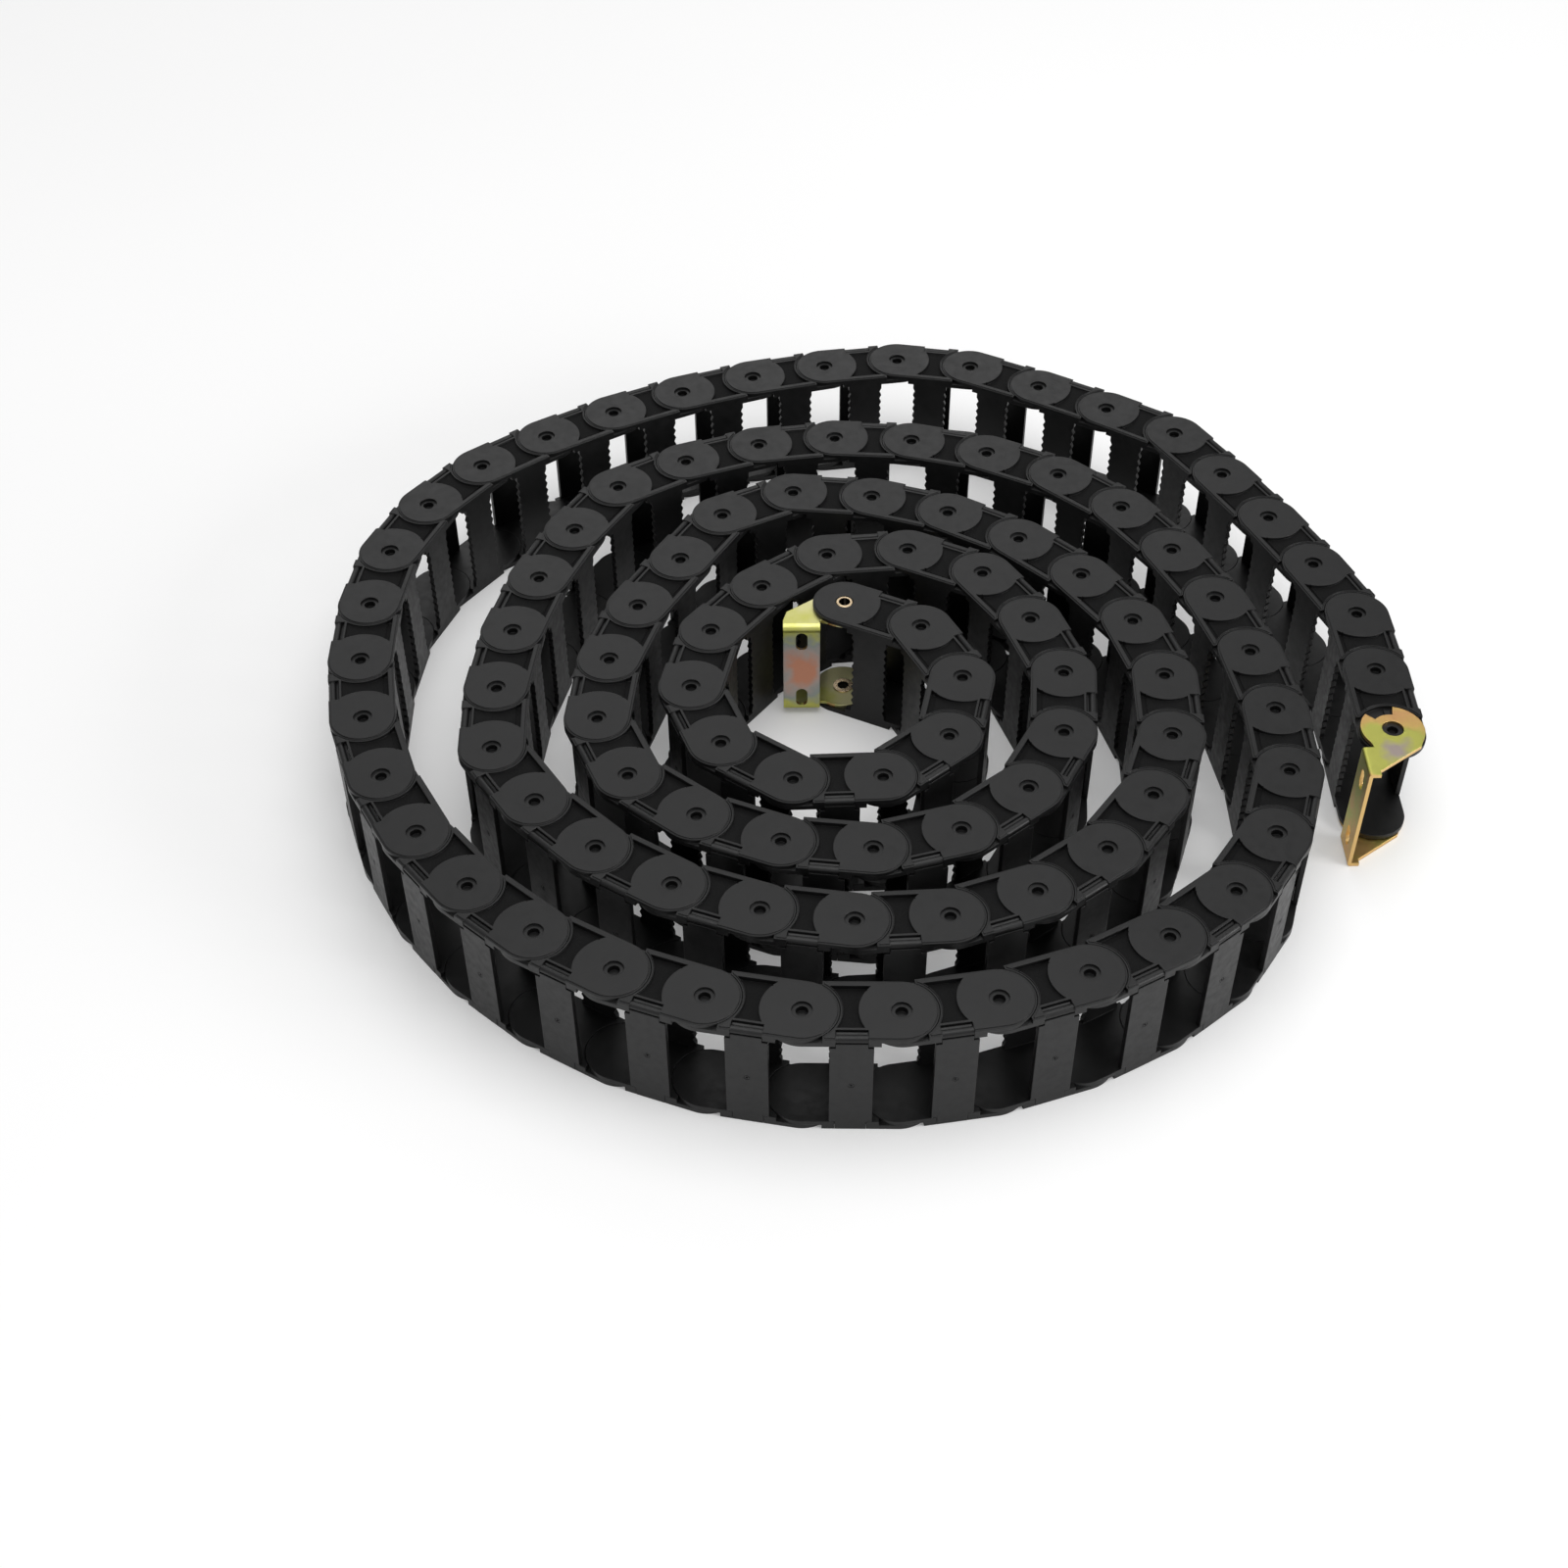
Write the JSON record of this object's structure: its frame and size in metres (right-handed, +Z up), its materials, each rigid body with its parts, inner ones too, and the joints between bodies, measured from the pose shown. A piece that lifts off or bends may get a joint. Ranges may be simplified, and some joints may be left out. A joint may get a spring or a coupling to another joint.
{
  "type": "cable drag chain",
  "caption": "Hinged plastic cable drag chain laid on its side in a loose coil, with snap-open crossbars and a slotted metal bracket at each end.",
  "frame": {"origin": "centre of the coil's bounding box in plan, on the floor that the chain's lower side plates lie on", "axes": "+Z up along the pivots, +Y away from the viewer along the outermost link, +X to the viewer's right; the outer end is at +X"},
  "size_m": [0.5671, 0.5448, 0.0664],
  "materials": {
    "black_plastic": "fine textured matt black polyamide",
    "zinc_plate": "yellow passivated zinc on sheet steel",
    "rivet_steel": "bright plated steel"
  },
  "bodies": {
    "inner_coil": {"links_21_to_39": "black_plastic", "links_40_to_58": "black_plastic", "links_59_to_77": "black_plastic", "links_78_to_96": "black_plastic", "crossbars_30_to_46": "black_plastic", "crossbars_47_to_63": "black_plastic", "crossbars_64_to_80": "black_plastic", "crossbars_81_to_96": "black_plastic"},
    "link_01": {"link_01": "black_plastic"},
    "link_02": {"link_02": "black_plastic"},
    "link_03": {"link_03": "black_plastic"},
    "link_04": {"link_04": "black_plastic"},
    "link_05": {"link_05": "black_plastic"},
    "link_06": {"link_06": "black_plastic"},
    "link_07": {"link_07": "black_plastic"},
    "link_08": {"link_08": "black_plastic"},
    "link_09": {"link_09": "black_plastic"},
    "link_10": {"link_10": "black_plastic"},
    "link_11": {"link_11": "black_plastic"},
    "link_12": {"link_12": "black_plastic"},
    "link_13": {"link_13": "black_plastic"},
    "link_14": {"link_14": "black_plastic"},
    "link_15": {"link_15": "black_plastic"},
    "link_16": {"link_16": "black_plastic"},
    "link_17": {"link_17": "black_plastic"},
    "link_18": {"link_18": "black_plastic"},
    "link_19": {"link_19": "black_plastic"},
    "link_20": {"link_20": "black_plastic"},
    "crossbar_01": {"crossbar_01": "black_plastic"},
    "crossbar_02": {"crossbar_02": "black_plastic"},
    "crossbar_03": {"crossbar_03": "black_plastic"},
    "crossbar_04": {"crossbar_04": "black_plastic"},
    "crossbar_05": {"crossbar_05": "black_plastic"},
    "crossbar_06": {"crossbar_06": "black_plastic"},
    "crossbar_07": {"crossbar_07": "black_plastic"},
    "crossbar_08": {"crossbar_08": "black_plastic"},
    "crossbar_09": {"crossbar_09": "black_plastic"},
    "crossbar_10": {"crossbar_10": "black_plastic"},
    "crossbar_11": {"crossbar_11": "black_plastic"},
    "crossbar_12": {"crossbar_12": "black_plastic"},
    "crossbar_13": {"crossbar_13": "black_plastic"},
    "crossbar_14": {"crossbar_14": "black_plastic"},
    "crossbar_15": {"crossbar_15": "black_plastic"},
    "crossbar_16": {"crossbar_16": "black_plastic"},
    "crossbar_17": {"crossbar_17": "black_plastic"},
    "crossbar_18": {"crossbar_18": "black_plastic"},
    "crossbar_19": {"crossbar_19": "black_plastic"},
    "crossbar_20": {"crossbar_20": "black_plastic"},
    "crossbar_21": {"crossbar_21": "black_plastic"},
    "crossbar_22": {"crossbar_22": "black_plastic"},
    "crossbar_23": {"crossbar_23": "black_plastic"},
    "crossbar_24": {"crossbar_24": "black_plastic"},
    "crossbar_25": {"crossbar_25": "black_plastic"},
    "crossbar_26": {"crossbar_26": "black_plastic"},
    "crossbar_27": {"crossbar_27": "black_plastic"},
    "crossbar_28": {"crossbar_28": "black_plastic"},
    "crossbar_29": {"crossbar_29": "black_plastic"},
    "outer_bracket": {"outer_bracket": "zinc_plate"},
    "inner_bracket": {"inner_bracket": "zinc_plate", "inner_rivets": "rivet_steel"}
  },
  "joints": [
    {"name": "bend_20", "type": "hinge", "parent": "inner_coil", "child": "link_20", "pos_m": [-0.26565, -0.01581, 0.0332], "axis": [0, 0, 1], "range_deg": [0, 8]},
    {"name": "bend_19", "type": "hinge", "parent": "link_20", "child": "link_19", "pos_m": [-0.26643, 0.02918, 0.0332], "axis": [0, 0, 1], "range_deg": [0, 8]},
    {"name": "bend_18", "type": "hinge", "parent": "link_19", "child": "link_18", "pos_m": [-0.26095, 0.07385, 0.0332], "axis": [0, 0, 1], "range_deg": [0, 15]},
    {"name": "bend_17", "type": "hinge", "parent": "link_18", "child": "link_17", "pos_m": [-0.24409, 0.11557, 0.0332], "axis": [0, 0, 1], "range_deg": [0, 15]},
    {"name": "bend_16", "type": "hinge", "parent": "link_17", "child": "link_16", "pos_m": [-0.21701, 0.15151, 0.0332], "axis": [0, 0, 1], "range_deg": [0, 15]},
    {"name": "bend_15", "type": "hinge", "parent": "link_16", "child": "link_15", "pos_m": [-0.18155, 0.17922, 0.0332], "axis": [0, 0, 1], "range_deg": [0, 6]},
    {"name": "bend_14", "type": "hinge", "parent": "link_15", "child": "link_14", "pos_m": [-0.14339, 0.20306, 0.0332], "axis": [0, 0, 1], "range_deg": [0, 6]},
    {"name": "bend_13", "type": "hinge", "parent": "link_14", "child": "link_13", "pos_m": [-0.10294, 0.22279, 0.0332], "axis": [0, 0, 1], "range_deg": [0, 6]},
    {"name": "bend_12", "type": "hinge", "parent": "link_13", "child": "link_12", "pos_m": [-0.06065, 0.23818, 0.0332], "axis": [0, 0, 1], "range_deg": [0, 6]},
    {"name": "bend_11", "type": "hinge", "parent": "link_12", "child": "link_11", "pos_m": [-0.01699, 0.24907, 0.0332], "axis": [0, 0, 1], "range_deg": [0, 6]},
    {"name": "bend_10", "type": "hinge", "parent": "link_11", "child": "link_10", "pos_m": [0.02757, 0.25533, 0.0332], "axis": [0, 0, 1], "range_deg": [0, 18]},
    {"name": "bend_09", "type": "hinge", "parent": "link_10", "child": "link_09", "pos_m": [0.07189, 0.24752, 0.0332], "axis": [0, 0, 1], "range_deg": [0, 18]},
    {"name": "bend_08", "type": "hinge", "parent": "link_09", "child": "link_08", "pos_m": [0.11162, 0.22639, 0.0332], "axis": [0, 0, 1], "range_deg": [0, 3]},
    {"name": "bend_07", "type": "hinge", "parent": "link_08", "child": "link_07", "pos_m": [0.15019, 0.20321, 0.0332], "axis": [0, 0, 1], "range_deg": [0, 3]},
    {"name": "bend_06", "type": "hinge", "parent": "link_07", "child": "link_06", "pos_m": [0.1875, 0.17805, 0.0332], "axis": [0, 0, 1], "range_deg": [0, 26]},
    {"name": "bend_05", "type": "hinge", "parent": "link_06", "child": "link_05", "pos_m": [0.21, 0.13908, 0.0332], "axis": [0, 0, 1], "range_deg": [0, 3]},
    {"name": "bend_04", "type": "hinge", "parent": "link_05", "child": "link_04", "pos_m": [0.23043, 0.09898, 0.0332], "axis": [0, 0, 1], "range_deg": [0, 3]},
    {"name": "bend_03", "type": "hinge", "parent": "link_04", "child": "link_03", "pos_m": [0.24873, 0.05787, 0.0332], "axis": [0, 0, 1], "range_deg": [0, 3]},
    {"name": "bend_02", "type": "hinge", "parent": "link_03", "child": "link_02", "pos_m": [0.26486, 0.01586, 0.0332], "axis": [0, 0, 1], "range_deg": [0, 19]},
    {"name": "bend_01", "type": "hinge", "parent": "link_02", "child": "link_01", "pos_m": [0.26643, -0.02911, 0.0332], "axis": [0, 0, 1], "range_deg": [0, 2]},
    {"name": "outer_bracket_swing", "type": "hinge", "parent": "link_01", "child": "outer_bracket", "pos_m": [0.26643, -0.07411, 0.0332], "axis": [0, 0, 1], "range_deg": [-38, 0]},
    {"name": "inner_bracket_swing", "type": "hinge", "parent": "inner_coil", "child": "inner_bracket", "pos_m": [-0.00967, 0.02779, 0.0332], "axis": [0, 0, 1], "range_deg": [-8, 30]},
    {"name": "open_crossbar_01", "type": "hinge", "parent": "link_01", "child": "crossbar_01", "pos_m": [0.28138, -0.05161, 0.064], "axis": [0, -1, 0], "range_deg": [0, 100]},
    {"name": "open_crossbar_02", "type": "hinge", "parent": "link_02", "child": "crossbar_02", "pos_m": [0.28059, -0.0061, 0.064], "axis": [0.0349, -0.9994, 0], "range_deg": [0, 100]},
    {"name": "open_crossbar_03", "type": "hinge", "parent": "link_03", "child": "crossbar_03", "pos_m": [0.27075, 0.04222, 0.064], "axis": [0.3584, -0.9336, 0], "range_deg": [0, 100]},
    {"name": "open_crossbar_04", "type": "hinge", "parent": "link_04", "child": "crossbar_04", "pos_m": [0.25324, 0.08451, 0.064], "axis": [0.4067, -0.9135, 0], "range_deg": [0, 100]},
    {"name": "open_crossbar_05", "type": "hinge", "parent": "link_05", "child": "crossbar_05", "pos_m": [0.23354, 0.12582, 0.064], "axis": [0.454, -0.891, 0], "range_deg": [0, 100]},
    {"name": "open_crossbar_06", "type": "hinge", "parent": "link_06", "child": "crossbar_06", "pos_m": [0.2117, 0.16604, 0.064], "axis": [0.5, -0.866, 0], "range_deg": [0, 100]},
    {"name": "open_crossbar_07", "type": "hinge", "parent": "link_07", "child": "crossbar_07", "pos_m": [0.17721, 0.20303, 0.064], "axis": [0.829, -0.5592, 0], "range_deg": [0, 100]},
    {"name": "open_crossbar_08", "type": "hinge", "parent": "link_08", "child": "crossbar_08", "pos_m": [0.13861, 0.22762, 0.064], "axis": [0.8572, -0.515, 0], "range_deg": [0, 100]},
    {"name": "open_crossbar_09", "type": "hinge", "parent": "link_09", "child": "crossbar_09", "pos_m": [0.09877, 0.25015, 0.064], "axis": [0.8829, -0.4695, 0], "range_deg": [0, 100]},
    {"name": "open_crossbar_10", "type": "hinge", "parent": "link_10", "child": "crossbar_10", "pos_m": [0.05233, 0.26615, 0.064], "axis": [0.9848, -0.1736, 0], "range_deg": [0, 100]},
    {"name": "open_crossbar_11", "type": "hinge", "parent": "link_11", "child": "crossbar_11", "pos_m": [0.00321, 0.267, 0.064], "axis": [0.9903, 0.1392, 0], "range_deg": [0, 100]},
    {"name": "open_crossbar_12", "type": "hinge", "parent": "link_12", "child": "crossbar_12", "pos_m": [-0.04244, 0.25813, 0.064], "axis": [0.9703, 0.2419, 0], "range_deg": [0, 100]},
    {"name": "open_crossbar_13", "type": "hinge", "parent": "link_13", "child": "crossbar_13", "pos_m": [-0.08691, 0.24453, 0.064], "axis": [0.9397, 0.342, 0], "range_deg": [0, 100]},
    {"name": "open_crossbar_14", "type": "hinge", "parent": "link_14", "child": "crossbar_14", "pos_m": [-0.12972, 0.22636, 0.064], "axis": [0.8988, 0.4384, 0], "range_deg": [0, 100]},
    {"name": "open_crossbar_15", "type": "hinge", "parent": "link_15", "child": "crossbar_15", "pos_m": [-0.17039, 0.20382, 0.064], "axis": [0.848, 0.5299, 0], "range_deg": [0, 100]},
    {"name": "open_crossbar_16", "type": "hinge", "parent": "link_16", "child": "crossbar_16", "pos_m": [-0.20848, 0.17714, 0.064], "axis": [0.788, 0.6157, 0], "range_deg": [0, 100]},
    {"name": "open_crossbar_17", "type": "hinge", "parent": "link_17", "child": "crossbar_17", "pos_m": [-0.24249, 0.14254, 0.064], "axis": [0.6018, 0.7986, 0], "range_deg": [0, 100]},
    {"name": "open_crossbar_18", "type": "hinge", "parent": "link_18", "child": "crossbar_18", "pos_m": [-0.26638, 0.10031, 0.064], "axis": [0.3746, 0.9272, 0], "range_deg": [0, 100]},
    {"name": "open_crossbar_19", "type": "hinge", "parent": "link_19", "child": "crossbar_19", "pos_m": [-0.27853, 0.05334, 0.064], "axis": [0.1219, 0.9925, 0], "range_deg": [0, 100]},
    {"name": "open_crossbar_20", "type": "hinge", "parent": "link_20", "child": "crossbar_20", "pos_m": [-0.28099, 0.00643, 0.064], "axis": [-0.0175, 0.9998, 0], "range_deg": [0, 100]},
    {"name": "open_crossbar_21", "type": "hinge", "parent": "inner_coil", "child": "crossbar_21", "pos_m": [-0.27689, -0.04037, 0.064], "axis": [-0.1564, 0.9877, 0], "range_deg": [0, 100]},
    {"name": "open_crossbar_22", "type": "hinge", "parent": "inner_coil", "child": "crossbar_22", "pos_m": [-0.26542, -0.08639, 0.064], "axis": [-0.3256, 0.9455, 0], "range_deg": [0, 100]},
    {"name": "open_crossbar_23", "type": "hinge", "parent": "inner_coil", "child": "crossbar_23", "pos_m": [-0.24612, -0.12973, 0.064], "axis": [-0.4848, 0.8746, 0], "range_deg": [0, 100]},
    {"name": "open_crossbar_24", "type": "hinge", "parent": "inner_coil", "child": "crossbar_24", "pos_m": [-0.2196, -0.16905, 0.064], "axis": [-0.6293, 0.7771, 0], "range_deg": [0, 100]},
    {"name": "open_crossbar_25", "type": "hinge", "parent": "inner_coil", "child": "crossbar_25", "pos_m": [-0.18665, -0.20318, 0.064], "axis": [-0.7547, 0.6561, 0], "range_deg": [0, 100]},
    {"name": "open_crossbar_26", "type": "hinge", "parent": "inner_coil", "child": "crossbar_26", "pos_m": [-0.14827, -0.23106, 0.064], "axis": [-0.8572, 0.515, 0], "range_deg": [0, 100]},
    {"name": "open_crossbar_27", "type": "hinge", "parent": "inner_coil", "child": "crossbar_27", "pos_m": [-0.10564, -0.25185, 0.064], "axis": [-0.9336, 0.3584, 0], "range_deg": [0, 100]},
    {"name": "open_crossbar_28", "type": "hinge", "parent": "inner_coil", "child": "crossbar_28", "pos_m": [-0.06004, -0.26493, 0.064], "axis": [-0.9816, 0.1908, 0], "range_deg": [0, 100]},
    {"name": "open_crossbar_29", "type": "hinge", "parent": "inner_coil", "child": "crossbar_29", "pos_m": [-0.01286, -0.26988, 0.064], "axis": [-0.9998, 0.0175, 0], "range_deg": [0, 100]}
  ]
}
